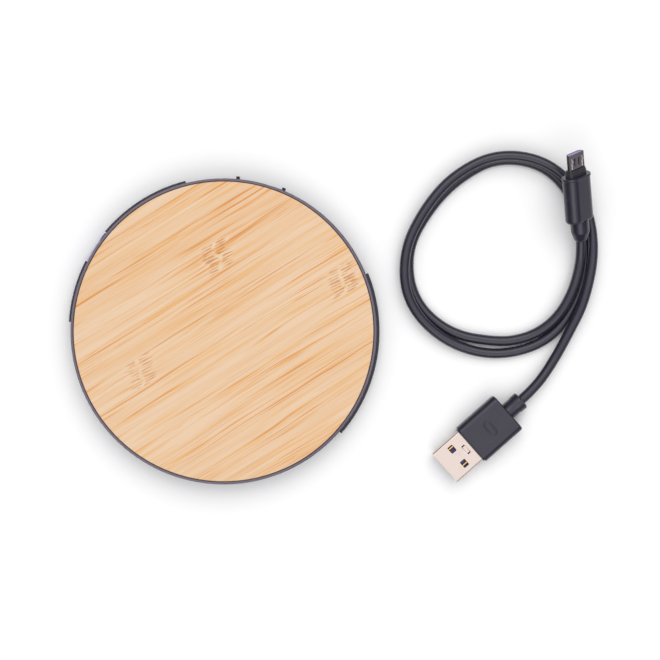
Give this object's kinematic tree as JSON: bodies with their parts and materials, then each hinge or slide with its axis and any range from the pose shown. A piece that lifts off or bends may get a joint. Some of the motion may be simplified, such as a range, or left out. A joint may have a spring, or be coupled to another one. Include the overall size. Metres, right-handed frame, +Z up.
{
  "type": "wireless charging pad",
  "caption": "Round low charging pad with a bamboo top in a plastic case, coil and board inside, and its loose USB-A to micro-USB charging cable.",
  "frame": {"origin": "on the table, under the middle of the pad", "axes": "+Z up out of the bamboo face; +X from the pad towards its cable; the socket faces 76 degrees from +X towards +Y"},
  "size_m": [0.169, 0.1065, 0.0206],
  "materials": {
    "bamboo": "satin, oiled bamboo strips glued edge to edge",
    "adhesive": "thin double-sided film",
    "bezel_plastic": "fine satin moulding",
    "base_plastic": "fine texture",
    "foot_rubber": "soft matt",
    "screw_steel": "zinc plated",
    "board_laminate": "solder mask",
    "film_tape": "polyimide film",
    "ferrite": "matt sintered ferrite",
    "copper_wire": "enamelled",
    "shell_steel": "bright nickel plate",
    "contact_gold": "gold flash",
    "purple_insulator": "satin moulding",
    "black_insulator": "satin moulding",
    "chip_epoxy": "moulded epoxy",
    "capacitor_ceramic": "fired ceramic with tinned ends",
    "light_diffuser": "frosted",
    "cable_pvc": "smooth soft PVC",
    "inner_mould": "hard moulding"
  },
  "bodies": {
    "pad": {"bamboo_disc": "bamboo", "bamboo_adhesive": "adhesive", "top_shell": "bezel_plastic", "base_shell": "base_plastic", "foot_1": "foot_rubber", "foot_2": "foot_rubber", "foot_3": "foot_rubber", "foot_4": "foot_rubber", "case_screws": "screw_steel", "board_screws": "screw_steel", "circuit_board": "board_laminate", "ferrite_tape": "film_tape", "ferrite_shield": "ferrite", "coil_tape": "film_tape", "transmitter_coil": "copper_wire", "coil_leads": "copper_wire", "thermistor": "chip_epoxy", "usb_socket_shell": "shell_steel", "usb_socket_tongue": "black_insulator", "usb_socket_contacts": "contact_gold", "controller_chip": "chip_epoxy", "power_inductor": "ferrite", "bridge_mosfets": "chip_epoxy", "resonant_capacitors": "capacitor_ceramic", "input_capacitors": "capacitor_ceramic", "chip_resistors": "chip_epoxy", "timing_crystal": "shell_steel", "status_leds": "light_diffuser", "light_guide": "light_diffuser"},
    "cable": {"usb_a_shell": "shell_steel", "usb_a_insulator": "purple_insulator", "usb_a_contacts": "contact_gold", "usb_a_inner_mould": "inner_mould", "usb_a_overmould": "cable_pvc", "cord": "cable_pvc", "micro_shell": "shell_steel", "micro_insulator": "purple_insulator", "micro_contacts": "contact_gold", "micro_inner_mould": "inner_mould", "micro_overmould": "cable_pvc"},
    "micro_latch_left": {"micro_latch_left": "shell_steel"},
    "micro_latch_right": {"micro_latch_right": "shell_steel"}
  },
  "joints": [
    {"name": "cable_lift", "type": "slide", "parent": "pad", "child": "cable", "axis": [0, 0, 1], "range_m": [0, 0.08]},
    {"name": "micro_latch_left_press", "type": "hinge", "parent": "cable", "child": "micro_latch_left", "pos_m": [0.10963, 0.05055, 0.01817], "axis": [-0.7298, -0.3349, 0.596], "range_deg": [0, 6.5], "stiffness_Nm_per_rad": 0.03},
    {"name": "micro_latch_right_press", "type": "hinge", "parent": "cable", "child": "micro_latch_right", "pos_m": [0.11306, 0.05213, 0.01537], "axis": [-0.7298, -0.3349, 0.596], "range_deg": [0, 6.5], "stiffness_Nm_per_rad": 0.03}
  ]
}
